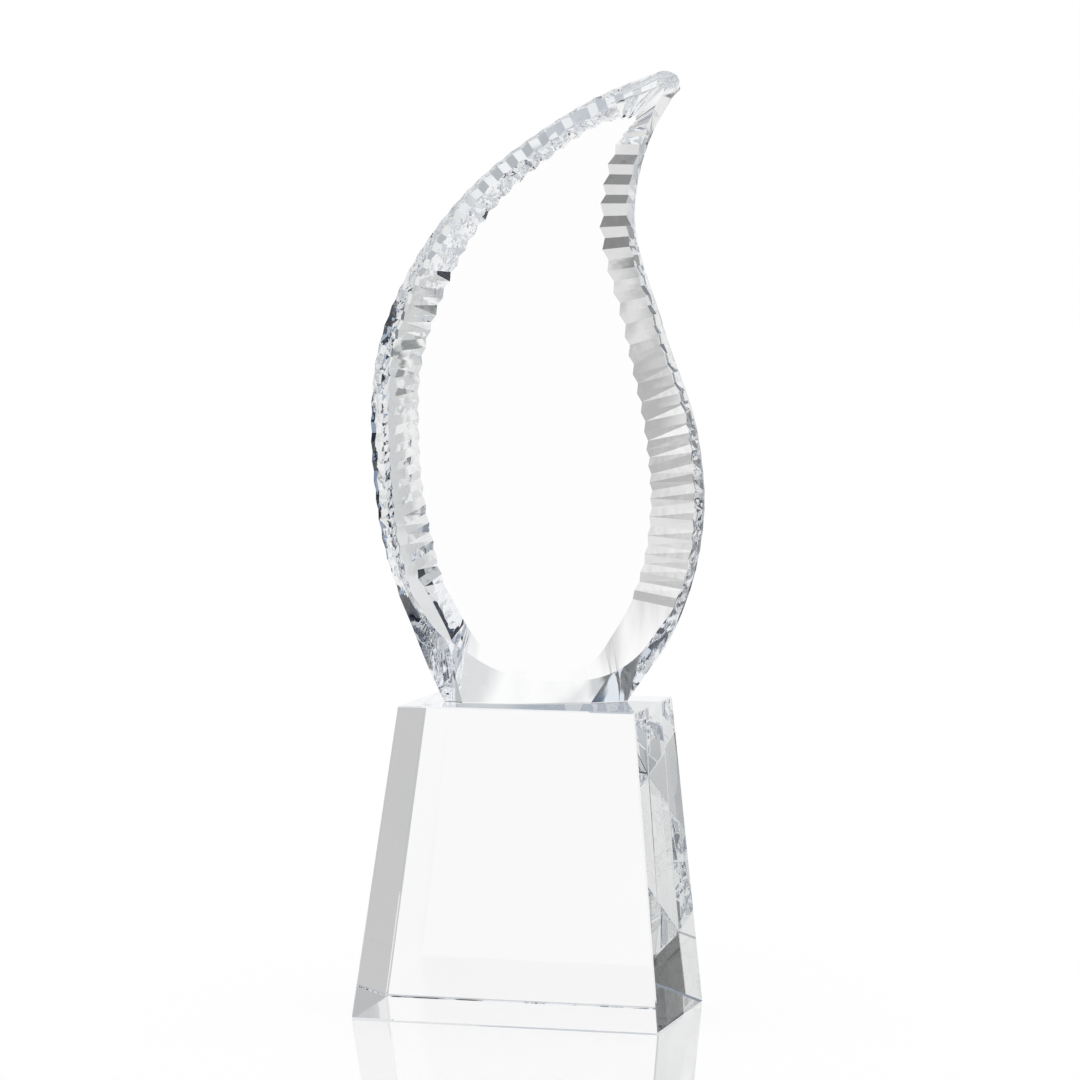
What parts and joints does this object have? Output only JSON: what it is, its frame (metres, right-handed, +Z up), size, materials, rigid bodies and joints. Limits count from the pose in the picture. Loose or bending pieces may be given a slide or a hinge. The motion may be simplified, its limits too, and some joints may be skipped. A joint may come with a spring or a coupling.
{
  "type": "flame award trophy",
  "caption": "Clear crystal award: a curved flame-shaped blade with a notched, bevelled rim, bonded upright on a tapered rectangular block.",
  "frame": {"origin": "centre of the block's bottom face", "axes": "+Z up, through the block towards the flame's tip; front faces -Y"},
  "size_m": [0.0967, 0.055, 0.2797],
  "materials": {
    "base_glass": "clear, polished",
    "bond_adhesive": "clear, cured",
    "flame_crystal": "clear, polished, ground notches"
  },
  "bodies": {
    "root": {"base_block": "base_glass", "bond_film": "bond_adhesive", "flame_blade": "flame_crystal"}
  },
  "joints": []
}
